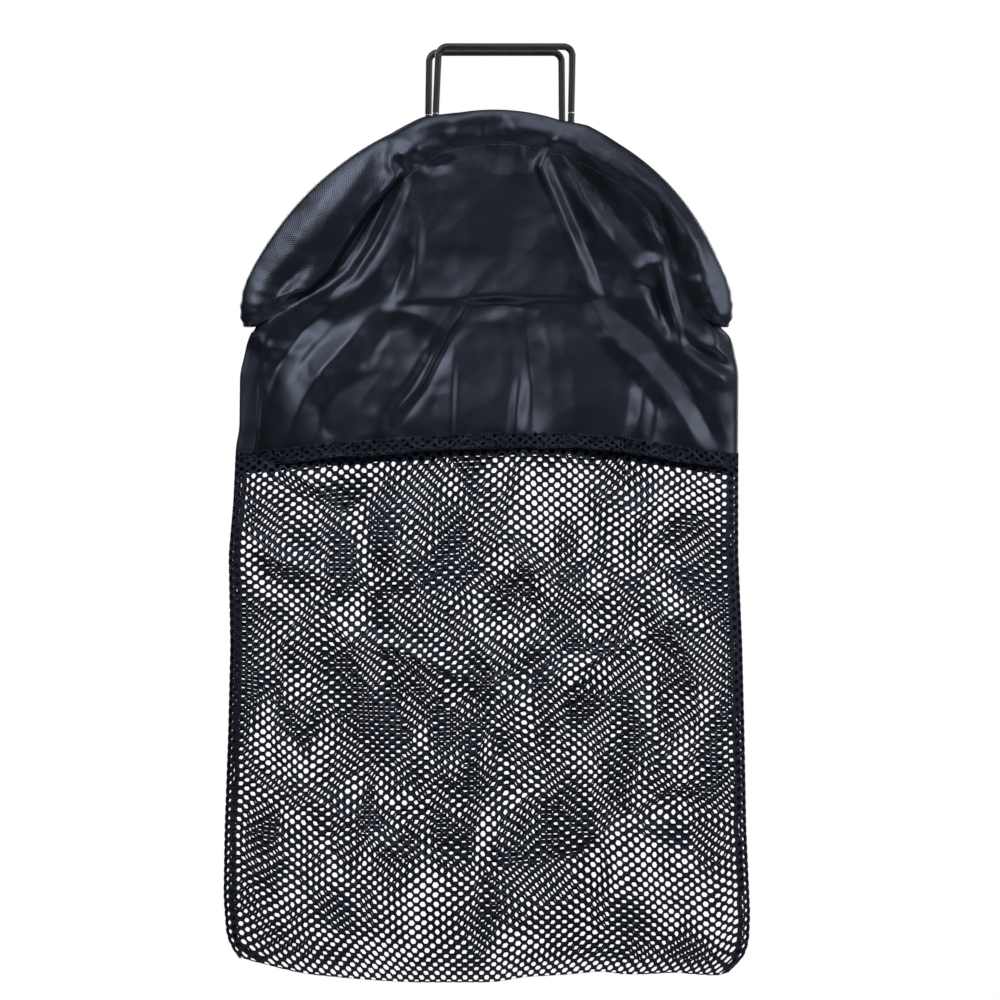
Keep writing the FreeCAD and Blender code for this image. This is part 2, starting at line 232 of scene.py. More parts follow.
def along(points, where):
    """A smooth reading of a given line of (key, value) points."""
    keys, values = np.array(sorted(points), float).T
    total = 0
    for shift in (-6, -3, 0, 3, 6):
        total = total + np.interp(where + shift, keys, values)
    return total / 5


def left_edge(z):
    return along(LEFT_EDGE, z)


def right_edge(z):
    return along(RIGHT_EDGE, z)


def hem_top(side, x):
    return along(HEM_TOP, x) - (REAR_HEM_DROP if side == "rear" else 0)


def arch_line(hood_node):
    """The rod's arch from the left hinge to the right one, as (x, z) rows.

    It is the hood's outer edge, smoothed and moved out to the rod. The hood's
    own straight foot is left out.
    """
    vertices = frame["nodes"][hood_node].data.vertices
    corners = {(round(v.co.x / MM, 2), round(v.co.z / MM, 2)) for v in vertices}
    ends_z = min(z for _, z in corners)
    arc = [(x, z) for x, z in corners if z > ends_z - 0.1 and (abs(x) > 150 or z > ends_z + 5)]
    arc.sort(key=lambda p: -math.atan2(p[1] - HINGE_Z, p[0]))
    x, z = np.array(arc).T
    angle = np.arctan2(z - HINGE_Z, x)
    radius = np.hypot(x, z - HINGE_Z)
    steps = np.linspace(angle[0], angle[-1], 400)
    radius = np.interp(-steps, -angle, radius)
    padded = np.pad(radius, 6, mode="edge")
    radius = np.convolve(padded, np.ones(13) / 13, mode="valid")
    x, z = radius * np.cos(steps), HINGE_Z + radius * np.sin(steps)
    slope_x, slope_z = np.gradient(x), np.gradient(z)
    size = np.hypot(slope_x, slope_z)
    return np.stack([x - slope_z / size * HOOD_INSET, z + slope_x / size * HOOD_INSET], 1)


ARCH = {"front": arch_line("front_hood"), "rear": arch_line("rear_hood")}


def arch_at(side, share, column):
    line = ARCH[side]
    length = np.concatenate([[0], np.cumsum(np.hypot(*np.diff(line, axis=0).T))])
    return np.interp(share, length / length[-1], line[:, column])


def hood_edges(side, z, inset):
    """Left and right x of the area inside the arch at height z."""
    line = ARCH[side]
    top = int(np.argmax(line[:, 1]))
    focus = np.stack([line[:, 0] * 0.3, np.full(len(line), HINGE_Z)], 1)
    inward = (focus - line) / np.linalg.norm(focus - line, axis=1)[:, None]
    line = line + inward * inset
    left = np.interp(z, line[: top + 1, 1], line[: top + 1, 0])
    right = np.interp(z, line[top:, 1][::-1], line[top:, 0][::-1])
    return left, right


# --- Folds --------------------------------------------------------------------
def fold_height(x, z, folds=FOLDS):
    """How far the folds lift each point, in millimetres.

    Each is a tent over its line, with its own reach on either side, a slightly
    rounded ridge, and ends that fade out.
    """
    total = np.zeros_like(x)
    for height, reach_left, reach_right, line in folds:
        line = np.array(line, float)
        best = np.full_like(x, 1e9)
        side = np.zeros_like(x)
        place = np.zeros_like(x)
        for i, (a, b) in enumerate(zip(line, line[1:])):
            run = b - a
            share = np.clip(((x - a[0]) * run[0] + (z - a[1]) * run[1]) / (run @ run), 0, 1)
            off_x = x - a[0] - share * run[0]
            off_z = z - a[1] - share * run[1]
            gap = np.hypot(off_x, off_z)
            nearer = gap < best
            best = np.where(nearer, gap, best)
            side = np.where(nearer, run[0] * off_z - run[1] * off_x, side)
            place = np.where(nearer, (i + share) / (len(line) - 1), place)
        reach = np.where(side > 0, reach_left, reach_right)
        fade = np.sin(np.pi * np.clip(place * 0.92 + 0.04, 0, 1)) ** 0.6
        slope = np.clip(1 - (np.sqrt(best**2 + 0.4) - 0.63) / (1.35 * reach), 0, 1)
        total += height * fade * slope**1.2
    return total


def facets(x, z, spacing, seed):
    """Height of a crumpled sheet made of flat facets, from -1 to 1."""
    chance = np.random.default_rng(seed)
    across, down = np.meshgrid(np.arange(x.min() - 2 * spacing, x.max() + 2 * spacing, spacing),
                               np.arange(z.min() - 2 * spacing, z.max() + 2 * spacing, spacing))
    spots = np.stack([across.ravel(), down.ravel()], 1)
    spots = spots + chance.uniform(-0.45, 0.45, spots.shape) * spacing
    heights = chance.uniform(-1, 1, len(spots))
    corners, _, faces, came_from, _, _ = delaunay_2d_cdt([Vector(spot) for spot in spots], [], [], 0, 1e-4)
    total = np.zeros_like(x)
    for face in faces:
        (ax, az), (bx, bz), (cx, cz) = (corners[i] for i in face)
        near = np.flatnonzero((x >= min(ax, bx, cx)) & (x <= max(ax, bx, cx)) &
                              (z >= min(az, bz, cz)) & (z <= max(az, bz, cz)))
        area = (bx - ax) * (cz - az) - (cx - ax) * (bz - az)
        px, pz = x[near] - ax, z[near] - az
        to_b = (px * (cz - az) - (cx - ax) * pz) / area
        to_c = ((bx - ax) * pz - px * (bz - az)) / area
        inside = (to_b >= 0) & (to_c >= 0) & (to_b + to_c <= 1)
        ha, hb, hc = (heights[came_from[i][0]] for i in face)
        total[near[inside]] = (ha + to_b * (hb - ha) + to_c * (hc - ha))[inside]
    return total


def swell(x, z, size_x, size_z, seed):
    """Soft unevenness, about -1 to 1."""
    return np.array([noise.noise((px, pz, seed)) for px, pz in zip(x / size_x, z / size_z)])


MAP_X = np.arange(-270, 270.1, MAP_STEP)
MAP_Z = np.arange(-390, -20, MAP_STEP)


def lift_map(side):
    """How far the nylon stands off its base, over the whole panel."""
    x, z = (part.ravel() for part in np.meshgrid(MAP_X, MAP_Z))
    flip = 1 if side == "front" else -1
    seed = 2 if side == "front" else 9
    # Slack nylon wrinkles mostly away from the grip, so its facets are long that way.
    bend_x = 210 * np.arctan2(x, 70 - z) + 5 * swell(x, z, 40, 40, seed + 30)
    bend_z = np.hypot(x, 70 - z) / 2.1 + 5 * swell(x, z, 40, 40, seed + 40)
    calm = 1.0
    for spot_x, spot_z, wide, high in FLAT_SPOTS:
        away = ((flip * x - spot_x) / wide) ** 4 + ((z - spot_z) / high) ** 4
        calm = calm * (1 - 0.8 * np.exp(-away))
    lift = fold_height(flip * x, z) * (1.0 if side == "front" else 0.85)
    large, small = facets(bend_x, bend_z, 30, seed), facets(bend_x, bend_z, 13, seed + 1)
    lift = lift + calm * (3.2 * large + 1.35 * small)
    lift = lift + calm * 0.4 * facets(x, z, 9, seed + 2)
    lift = np.maximum(lift, -6.0 + 0.2 * lift).reshape(len(MAP_Z), len(MAP_X))
    lift[1:-1] = (lift[:-2] + 2 * lift[1:-1] + lift[2:]) / 4
    lift[:, 1:-1] = (lift[:, :-2] + 2 * lift[:, 1:-1] + lift[:, 2:]) / 4
    return lift


def read_map(heights, left, bottom, step, x, z):
    """A map's value at each point, between its grid's points."""
    column = np.clip((x - left) / step, 0, heights.shape[1] - 1.001)
    row = np.clip((z - bottom) / step, 0, heights.shape[0] - 1.001)
    i, j = column.astype(int), row.astype(int)
    u, v = column - i, row - j
    low = heights[j, i] * (1 - u) + heights[j, i + 1] * u
    high = heights[j + 1, i] * (1 - u) + heights[j + 1, i + 1] * u
    return low * (1 - v) + high * v


LIFT = {"front": lift_map("front"), "rear": lift_map("rear")}


def nylon_lift(x, z, side):
    return read_map(LIFT[side], MAP_X[0], MAP_Z[0], MAP_STEP, x, z)


# --- Mesh making --------------------------------------------------------------
def cloth_mesh(name, columns, rows, place, flat, closed=False):
    """A grid of cloth. place() gives x, y and z in mm for shares across and along."""
    bm = bmesh.new()
    bmesh.ops.create_grid(bm, x_segments=columns, y_segments=rows, size=0.5)
    unit = np.array([v.co[:2] for v in bm.verts])
    unit = (unit - unit.min(0)) / (unit.max(0) - unit.min(0))
    spots = np.stack(place(unit[:, 0], unit[:, 1]), 1) * MM
    layer = bm.loops.layers.uv.new("cloth")
    for face in bm.faces:
        for loop in face.loops:
            share = unit[loop.vert.index]
            loop[layer].uv = (share[0] * flat[0] * MM, share[1] * flat[1] * MM)
    for vert, spot in zip(bm.verts, spots):
        vert.co = spot
    bmesh.ops.remove_doubles(bm, verts=bm.verts, dist=0.02 * MM)
    if closed:
        bmesh.ops.recalc_face_normals(bm, faces=bm.faces)
    return finish_piece(name, bm)


def finish_piece(name, bm, shade_smooth=True):
    mesh = bpy.data.meshes.new(name)
    for face in bm.faces:
        face.smooth = shade_smooth
    bm.to_mesh(mesh)
    bm.free()
    piece = bpy.data.objects.new(name, mesh)
    bpy.context.scene.collection.objects.link(piece)
    return piece


def thicken(piece, thick, offset=0.0):
    solid = piece.modifiers.new("thickness", "SOLIDIFY")
    solid.thickness = thick * MM
    solid.offset = offset
    solid.use_even_offset = False
    return piece


def bake_modifiers(piece):
    """Applies a piece's modifiers to its mesh."""
    shown = piece.evaluated_get(bpy.context.evaluated_depsgraph_get())
    mesh = bpy.data.meshes.new_from_object(shown)
    piece.modifiers.clear()
    piece.data = mesh
    return piece


def dress(piece, material):
    piece.data.materials.clear()
    piece.data.materials.append(material)
    return piece


def set_places(piece, x, y, z):
    piece.data.vertices.foreach_set("co", (np.stack([x, y, z], 1) * MM).astype(np.float32).ravel())
    piece.data.update()


def places(piece):
    spots = np.zeros(len(piece.data.vertices) * 3, np.float32)
    piece.data.vertices.foreach_get("co", spots)
    return (spots.reshape(-1, 3).astype(float) / MM).T


# --- Materials ----------------------------------------------------------------
class Nodes:
    """Short names for making and joining a material's or a group's nodes."""

    def __init__(self, tree):
        self.tree = tree
        self.tree.nodes.clear()

    def add(self, kind, links=(), **settings):
        node = self.tree.nodes.new(kind)
        for key, value in settings.items():
            if key.startswith("in_"):
                node.inputs[int(key[3:])].default_value = value
            else:
                setattr(node, key, value)
        for socket, source in links:
            self.tree.links.new(source, node.inputs[socket])
        return node


def weave_group():
    """Height of a plain weave in cloth coordinates."""
    group = bpy.data.node_groups.new("plain weave", "ShaderNodeTree")
    group.interface.new_socket("Vector", in_out="INPUT", socket_type="NodeSocketVector")
    group.interface.new_socket("Pitch", in_out="INPUT", socket_type="NodeSocketFloat")
    group.interface.new_socket("Height", in_out="OUTPUT", socket_type="NodeSocketFloat")
    n = Nodes(group)
    given = n.add("NodeGroupInput")
    turns = n.add("ShaderNodeMath", [(1, given.outputs["Pitch"])], operation="DIVIDE", in_0=2 * math.pi)
    scaled = n.add("ShaderNodeVectorMath", [(0, given.outputs["Vector"]), ("Scale", turns.outputs[0])],
                   operation="SCALE")
    parts = n.add("ShaderNodeSeparateXYZ", [(0, scaled.outputs[0])])
    warp = n.add("ShaderNodeMath", [(0, parts.outputs[0])], operation="SINE")
    weft = n.add("ShaderNodeMath", [(0, parts.outputs[1])], operation="SINE")
    crossed = n.add("ShaderNodeMath", [(0, warp.outputs[0]), (1, weft.outputs[0])], operation="MULTIPLY")
    out = n.add("NodeGroupOutput")
    group.links.new(crossed.outputs[0], out.inputs[0])
    return group


def mottle_group():
    """A colour that wanders between two others, for handling marks and dye."""
    group = bpy.data.node_groups.new("mottle", "ShaderNodeTree")
    for name, kind in (("Vector", "Vector"), ("Scale", "Float"), ("Dark", "Color"), ("Light", "Color")):
        group.interface.new_socket(name, in_out="INPUT", socket_type="NodeSocket" + kind)
    group.interface.new_socket("Color", in_out="OUTPUT", socket_type="NodeSocketColor")
    group.interface.new_socket("Mask", in_out="OUTPUT", socket_type="NodeSocketFloat")
    n = Nodes(group)
    given = n.add("NodeGroupInput")
    cloud = n.add("ShaderNodeTexNoise", [("Vector", given.outputs["Vector"]),
                                         ("Scale", given.outputs["Scale"])])
    cloud.inputs["Detail"].default_value = 5.0
    spread = n.add("ShaderNodeMapRange", [(0, cloud.outputs[0])], in_1=0.32, in_2=0.68)
    mixed = n.add("ShaderNodeMix", [(0, spread.outputs[0]), (6, given.outputs["Dark"]),
                                    (7, given.outputs["Light"])], data_type="RGBA")
    out = n.add("NodeGroupOutput")
    group.links.new(mixed.outputs[2], out.inputs["Color"])
    group.links.new(spread.outputs[0], out.inputs["Mask"])
    return group


WEAVE = weave_group()
MOTTLE = mottle_group()


def new_material(name):
    material = bpy.data.materials.new(name)
    material.use_nodes = True
    n = Nodes(material.node_tree)
    shader = n.add("ShaderNodeBsdfPrincipled")
    n.add("ShaderNodeOutputMaterial", [(0, shader.outputs[0])])
    return material, n, shader


def mottled(n, shader, vector, scale, dark, light, rough_low=None, rough_high=None):
    """Colour that wanders, and roughness with it where its limits are given."""
    spots = n.add("ShaderNodeGroup", node_tree=MOTTLE)
    n.tree.links.new(vector, spots.inputs["Vector"])
    spots.inputs["Scale"].default_value = scale
    spots.inputs["Dark"].default_value = (*dark, 1)
    spots.inputs["Light"].default_value = (*light, 1)
    n.tree.links.new(spots.outputs["Color"], shader.inputs["Base Color"])
    if rough_low:
        rough = n.add("ShaderNodeMapRange", [(0, spots.outputs["Mask"])], in_3=rough_low, in_4=rough_high)
        n.tree.links.new(rough.outputs[0], shader.inputs["Roughness"])


def bumped(n, shader, heights):
    """Adds bumps one over another: (height socket, distance in mm, strength)."""
    normal = None
    for height, distance, strength in heights:
        bump = n.add("ShaderNodeBump", [("Height", height)])
        bump.inputs["Distance"].default_value = distance * MM
        bump.inputs["Strength"].default_value = strength
        if normal:
            n.tree.links.new(normal, bump.inputs["Normal"])
        normal = bump.outputs[0]
    n.tree.links.new(normal, shader.inputs["Normal"])


def nylon_material():
    """Coated plain-weave nylon: near-black navy with a soft shine."""
    material, n, shader = new_material("coated nylon")
    cloth = n.add("ShaderNodeUVMap", uv_map="cloth")
    place = n.add("ShaderNodeTexCoord")
    mottled(n, shader, place.outputs["Object"], 26, (0.0018, 0.0020, 0.0038), (0.0032, 0.0036, 0.0064))
    weave = n.add("ShaderNodeGroup", [(0, cloth.outputs[0])], node_tree=WEAVE)
    weave.inputs["Pitch"].default_value = 2.3 * MM
    dull = n.add("ShaderNodeMapRange", [(0, weave.outputs[0])], in_1=-1.0, in_2=1.0, in_3=0.31, in_4=0.50)
    n.tree.links.new(dull.outputs[0], shader.inputs["Roughness"])
    fine = n.add("ShaderNodeTexNoise", [("Vector", place.outputs["Object"])])
    fine.inputs["Scale"].default_value = 130
    fine.inputs["Detail"].default_value = 3
    creases = []
    for size in (46, 19):
        bent = n.add("ShaderNodeTexNoise", [("Vector", place.outputs["Object"])])
        bent.inputs["Scale"].default_value = 400 / size
        pushed = n.add("ShaderNodeVectorMath", [(0, bent.outputs[1]), (2, place.outputs["Object"])],
                       operation="MULTIPLY_ADD", in_1=(0.7 * size * MM,) * 3)
        cells = n.add("ShaderNodeTexVoronoi", [("Vector", pushed.outputs[0])], feature="F1")
        cells.inputs["Scale"].default_value = 1000 / size
        creases.append((cells.outputs["Distance"], 0.035 * size, 0.8))
    bumped(n, shader, creases + [(fine.outputs[0], 0.3, 0.2), (weave.outputs[0], 0.10, 0.5)])
    shader.inputs["Specular IOR Level"].default_value = 0.55
    shader.inputs["Specular Tint"].default_value = (0.66, 0.76, 1.0, 1)
    return material


def net_material():
    """Knitted polyester net."""
    material, n, shader = new_material("knitted net")
    place = n.add("ShaderNodeTexCoord")
    mottled(n, shader, place.outputs["Object"], 18, (0.0026, 0.0028, 0.0060), (0.0060, 0.0066, 0.0130),
            0.5, 0.66)
    strands = n.add("ShaderNodeTexNoise", [("Vector", place.outputs["Object"])])
    strands.inputs["Scale"].default_value = 900
    bumped(n, shader, [(strands.outputs[0], 0.5, 0.7)])
    shader.inputs["Specular IOR Level"].default_value = 0.32
    shader.inputs["Specular Tint"].default_value = (0.60, 0.68, 1.0, 1)
    return material


def tape_material(name, dark, light, pitch):
    """Woven tape or thread."""
    material, n, shader = new_material(name)
    place = n.add("ShaderNodeTexCoord")
    mottled(n, shader, place.outputs["Object"], 60, dark, light, 0.6, 0.75)
    rib = n.add("ShaderNodeTexWave", [("Vector", place.outputs["Object"])], bands_direction="Z")
    rib.inputs["Scale"].default_value = 0.314 / (pitch * MM) / 2
    bumped(n, shader, [(rib.outputs["Fac"], 0.25, 0.7)])
    return material


def vinyl_material():
    """Extruded tubing with fine scuffs and dust."""
    material, n, shader = new_material("soft tubing")
    place = n.add("ShaderNodeTexCoord")
    mottled(n, shader, place.outputs["Object"], 45, (0.006, 0.0068, 0.0105), (0.012, 0.0135, 0.0195),
            0.40, 0.54)
    shader.inputs["Specular IOR Level"].default_value = 0.35
    scuffs = n.add("ShaderNodeTexNoise", [("Vector", place.outputs["Object"])])
    scuffs.inputs["Scale"].default_value = 420
    bumped(n, shader, [(scuffs.outputs[0], 0.12, 0.5)])
    return material


def steel_material():
    """Drawn stainless rod and rivets."""
    material, n, shader = new_material("drawn stainless")
    place = n.add("ShaderNodeTexCoord")
    mottled(n, shader, place.outputs["Object"], 160, (0.42, 0.42, 0.43), (0.62, 0.62, 0.62), 0.24, 0.4)
    shader.inputs["Metallic"].default_value = 1.0
    lines = n.add("ShaderNodeTexNoise", [("Vector", place.outputs["Object"])])
    lines.inputs["Scale"].default_value = 1500
    bumped(n, shader, [(lines.outputs[0], 0.05, 0.4)])
    return material


NYLON = nylon_material()
NET = net_material()
TAPE = tape_material("woven tape", (0.006, 0.0065, 0.009), (0.013, 0.014, 0.019), 1.2)
THREAD = tape_material("bonded thread", (0.02, 0.022, 0.03), (0.045, 0.048, 0.06), 0.6)
VINYL = vinyl_material()
STEEL = steel_material()


# --- Camera, light and floor --------------------------------------------------
def camera():
    """A long lens, level with the bag's middle."""
    lens = bpy.data.cameras.new("camera")
    holder = bpy.data.objects.new("camera", lens)
    bpy.context.scene.collection.objects.link(holder)
    distance, view_width = 4.2, 0.88
    holder.location = (0.0123, HINGE_Y * MM - distance, -0.3915)
    holder.rotation_euler = (math.radians(90), 0, 0)
    lens.lens = lens.sensor_width * distance / view_width
    lens.clip_end = 60
    bpy.context.scene.camera = holder


def softbox(name, place, aim, size, power):
    lamp = bpy.data.lights.new(name, "AREA")
    lamp.shape = "RECTANGLE"
    lamp.size, lamp.size_y = size
    lamp.energy = power
    holder = bpy.data.objects.new(name, lamp)
    holder.location = place
    holder.rotation_euler = (Vector(aim) - Vector(place)).to_track_quat("-Z", "Y").to_euler()
    bpy.context.scene.collection.objects.link(holder)


def studio():
    """A pale floor far below, a white surround and five softboxes."""
    bm = bmesh.new()
    bmesh.ops.create_circle(bm, cap_ends=True, segments=96, radius=1.7)
    bmesh.ops.translate(bm, verts=bm.verts, vec=(0, 0, -1.9))
    floor = finish_piece("floor", bm, shade_smooth=False)
    paint, _, shader = new_material("floor paint")
    shader.inputs["Base Color"].default_value = (0.86, 0.86, 0.86, 1)
    shader.inputs["Roughness"].default_value = 0.8
    floor.data.materials.append(paint)

    world = bpy.data.worlds.new("surround")
    world.use_nodes = True
    n = Nodes(world.node_tree)
    seen = n.add("ShaderNodeBackground", in_0=(1, 1, 1, 1), in_1=1.0)
    lit = n.add("ShaderNodeBackground", in_0=(0.84, 0.92, 1.0, 1), in_1=0.05)
    ray = n.add("ShaderNodeLightPath")
    both = n.add("ShaderNodeMixShader", [(0, ray.outputs["Is Camera Ray"]), (1, lit.outputs[0]),
                                         (2, seen.outputs[0])])
    n.add("ShaderNodeOutputWorld", [(0, both.outputs[0])])
    bpy.context.scene.world = world

    bag = (0, 0, -0.4)
    softbox("key", (-1.4, -2.2, 1.4), bag, (0.9, 1.2), 70)
    softbox("fill", (2.5, -1.5, 0.4), bag, (0.7, 1.6), 50)
    softbox("overhead", (0.3, -1.3, 2.3), bag, (1.6, 0.6), 36)
    softbox("back left", (-1.8, 2.2, 0.8), bag, (1.2, 1.6), 60)
    softbox("back right", (2.0, 2.0, 0.3), bag, (1.0, 2.0), 50)
    bpy.context.scene.view_settings.view_transform = "Standard"


# --- Nylon --------------------------------------------------------------------
def facing(side):
    """-1 for the front, which faces -Y, and 1 for the rear."""
    return -1 if side == "front" else 1


def panel_width(side, z):
    """Left and right x of the nylon at height z."""
    hood = hood_edges(side, z, 9.0)
    share = smooth_step(HINGE_Z - 16, HINGE_Z + 6, z)
    left = left_edge(z) * (1 - share) + hood[0] * share
    right = right_edge(z) * (1 - share) + hood[1] * share
    return left, right


def panel_base(side, x, z):
    """y of the smooth nylon, before its folds."""
    left, right = panel_width(side, z)
    from_left = np.maximum(x - left, 0)
    from_right = np.maximum(right - x, 0)
    # The left side's facing lies flat before the collar rises from it.
    flat = FACING_WIDTH * smooth_step(-236, -252, z)
    lip = 1.5 * (1 - np.exp(-from_left / 2))
    rise_left = 1 - np.exp(-np.maximum(from_left - flat, 0) / COLLAR_EDGE)
    rise_right = 1 - np.exp(-from_right / COLLAR_EDGE)
    depth = COLLAR_DEPTH + COLLAR_LEAN * smooth_step(-225, -345, z)
    stand = lip + depth * np.minimum(rise_left, rise_right)
    collar = HINGE_Y + facing(side) * (0.4 + stand)
    hood = (FRONT_Y if side == "front" else REAR_Y) + facing(side) * 0.5
    share = smooth_step(HINGE_Z - 28, HINGE_Z + 4, z)
    return collar * (1 - share) + hood * share


def panel_lift(side, x, z):
    """The folds, quietened towards the side seams."""
    left, right = panel_width(side, z)
    edge = np.minimum(x - left, right - x)
    return nylon_lift(x, z, side) * smooth_step(-2, 16, edge)


def nylon_panel(side):
    """Hood and collar in one cloth, from inside the sleeve to behind the hem."""
    top_z = ARCH[side][:, 1].max() - 9.0

    def place(across, up):
        rise = 1 - (1 - up) ** 1.25
        z = PANEL_BOTTOM_Z + (top_z - PANEL_BOTTOM_Z) * rise
        left, right = panel_width(side, z)
        foot = hem_top(side, left + (right - left) * across) - HEM_LAP
        z = z + (foot - PANEL_BOTTOM_Z) * (1 - rise) ** 3
        x = left + (right - left) * across
        y = panel_base(side, x, z) + facing(side) * panel_lift(side, x, z)
        return x, y, z

    flat = (NYLON_CUT_WIDTH, top_z - PANEL_BOTTOM_Z)
    piece = cloth_mesh(f"{side}_nylon", 230, 165, place, flat)
    thicken(piece, NYLON_THICK)
    bake_modifiers(piece)
    dress(piece, NYLON)
    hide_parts(f"{side}_hood", f"{side}_collar")
    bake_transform(piece)


def sleeve_width(share):
    """How far the sleeve reaches in from the rod, along the arch."""
    stations = (0, 0.03, 0.08, 0.14, 0.22, 0.33, 0.42, 0.52, 0.63, 0.72, 0.84, 0.92, 0.97, 1)
    widths = (7, 34, 52, 58, 53, 39, 27, 24, 22, 22, 29, 38, 28, 7)
    return np.interp(share, stations, widths)


def sleeve_rise(share):
    """How far the sleeve's outer edge stands outside the rod's middle line."""
    stations = (0, 0.02, 0.05, 0.12, 0.36, 0.41, 0.46, 0.6, 0.64, 0.69, 0.9, 0.95, 0.98, 1)
    rises = (3.4, 6.4, 6.0, 5.0, 4.6, 7.6, 5.0, 6.2, 9.8, 7.4, 5.2, 7.0, 7.4, 3.4)
    return np.interp(share, stations, rises)


def rod_line(side, share):
    """The rod's middle line, run on a little past the hinges, and the way in from it."""
    share = share * (1 + 2 * SLEEVE_END) - SLEEVE_END
    x, z = arch_at(side, share, 0), arch_at(side, share, 1)
    z = z - 500 * (np.maximum(-share, 0) + np.maximum(share - 1, 0))
    gap = np.hypot(0.7 * x, HINGE_Z - z)
    return x, z, -0.7 * x / gap, (HINGE_Z - z) / gap


def nylon_sleeve(side):
    """The tunnel sewn round the rod, gathered up at the hinges."""
    out = facing(side)
    rod_y = FRONT_Y if side == "front" else REAR_Y

    def place(share, round_):
        x0, z0, in_x, in_z = rod_line(side, share)
        end = np.minimum(share, 1 - share)
        # Round the section: front leaf, outer edge, back leaf. reach is 0 at
        # the sewn edge and 1 outside the rod.
        turn = 2 * math.pi * round_
        reach = (1 - np.cos(turn)) / 2
        front = turn < math.pi
        # Where the front sleeve's sewn edge stands up as a lip: on its left, clear of the crown.
        if side == "front":
            lip = smooth_step(0.02, 0.08, share) * (1 - smooth_step(0.33, 0.40, share))
        else:
            lip = REAR_LIP
        edge_rise = np.clip(reach / (0.62 - 0.52 * lip), 0, 1)
        front_belly = np.sin(edge_rise * math.pi / 2) ** (1.6 - 0.8 * lip)
        belly = np.where(front, front_belly, np.abs(np.sin(turn)) ** 0.8)
        belly = belly * np.where(front, np.sqrt(np.maximum(1 - reach**2, 0)), 1)
        gather = np.exp(-end / 0.035)
        ripple = np.sin(end * 330 + 1.6 * np.sin(turn)) * gather
        across = sleeve_width(share) * (1 - reach) - sleeve_rise(share) * reach
        across = across + 1.8 * ripple * (reach - 0.4)
        middle_top = np.exp(-(((share - 0.52) / 0.12) ** 2))
        puff = np.where(front, SLEEVE_FRONT, SLEEVE_BACK) * belly * (1 - 0.4 * middle_top)
        puff = puff * (1 + 0.8 * gather) + 1.2 * ripple * belly
        puff = puff * (0.3 + 0.7 * smooth_step(-0.004, 0.035, end))
        x = x0 + in_x * across
        z = z0 + in_z * across
        lift = nylon_lift(x, z, side)
        sewn = (panel_base(side, x, z) - rod_y) * (1 - reach)
        y_front = sewn + out * (0.9 + puff + lift * (1 - 0.9 * reach**2))
        y_back = sewn + out * (np.minimum(lift, 2.0) * (1 - reach) - puff)
        outer = smooth_step(0.5, 1.0, reach) * (1 - smooth_step(0.0, 0.25, belly))
        return x, rod_y + np.where(front, y_front, y_back) * (1 - outer), z

    piece = cloth_mesh(f"{side}_sleeve_cloth", 320, 60, place, SLEEVE_CUT, closed=True)
    thicken(piece, NYLON_THICK, offset=-1)
    bake_modifiers(piece)
    dress(piece, NYLON)
    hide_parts(f"{side}_sleeve")
    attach(piece, f"{side}_frame")


def sleeve_stitches(side):
    """The row that closes the sleeve, just inside its edge."""
    def line(share):
        share = 0.06 + 0.88 * share
        x, z, in_x, in_z = rod_line(side, share)
        reach = sleeve_width(share) + 1.3
        x, z = x + in_x * reach, z + in_z * reach
        return x, panel_base(side, x, z) + facing(side) * (panel_lift(side, x, z) + 1.1), z

    stitch_row(f"{side}_sleeve_stitches", line, 2.8, f"{side}_sleeve_thread", f"{side}_frame")


# --- Netting ------------------------------------------------------------------
def flat_net(name, columns, rows):
    """Flat netting of six-sided meshes, in metres, hung from the middle of its top edge."""
    bm = bmesh.new()
    corner_x = (CELL_X**2 / 4 + CELL_Z**2 / 4) / CELL_X
    shoulder_x = CELL_X / 2 - corner_x
    for x, z in ((0, 0), (CELL_X / 2, CELL_Z / 2)):
        hole = bmesh.ops.create_circle(bm, segments=6, radius=HOLE_R)["verts"]
        ring = bmesh.ops.create_circle(bm, segments=6, radius=CELL_X)["verts"]
        for vert in hole + ring:
            vert.co.x, vert.co.y = vert.co.y, vert.co.x
        for vert in ring:
            outer = abs(vert.co.y) < 0.1
            reach = corner_x if outer else shoulder_x
            rise = 0 if outer else CELL_Z / 2
            vert.co.x = math.copysign(reach, vert.co.x)
            vert.co.y = math.copysign(rise, vert.co.y)
        edges = {e for v in hole + ring for e in v.link_edges}
        bmesh.ops.bridge_loops(bm, edges=list(edges))
        bmesh.ops.translate(bm, verts=hole + ring, vec=(x, z, 0))
    bmesh.ops.translate(bm, verts=bm.verts, vec=(-columns * CELL_X / 2 + CELL_X / 4, -rows * CELL_Z, 0))
    bmesh.ops.scale(bm, verts=bm.verts, vec=(MM, MM, MM))
    piece = finish_piece(name, bm, shade_smooth=False)
    for i, (count, step) in enumerate(((columns, (CELL_X, 0)), (rows, (0, CELL_Z)))):
        array = piece.modifiers.new(f"repeat{i}", "ARRAY")
        array.count = count
        array.use_relative_offset = False
        array.use_constant_offset = True
        array.constant_offset_displace = (step[0] * MM, step[1] * MM, 0)
    bake_modifiers(piece)
    bm = bmesh.new()
    bm.from_mesh(piece.data)
    bmesh.ops.remove_doubles(bm, verts=bm.verts, dist=0.05 * MM)
    bmesh.ops.recalc_face_normals(bm, faces=bm.faces)
    bm.to_mesh(piece.data)
    bm.free()
    return piece


NET_X = np.arange(-250, 250.1, NET_STEP)
NET_Z = np.arange(-830, -325, NET_STEP)


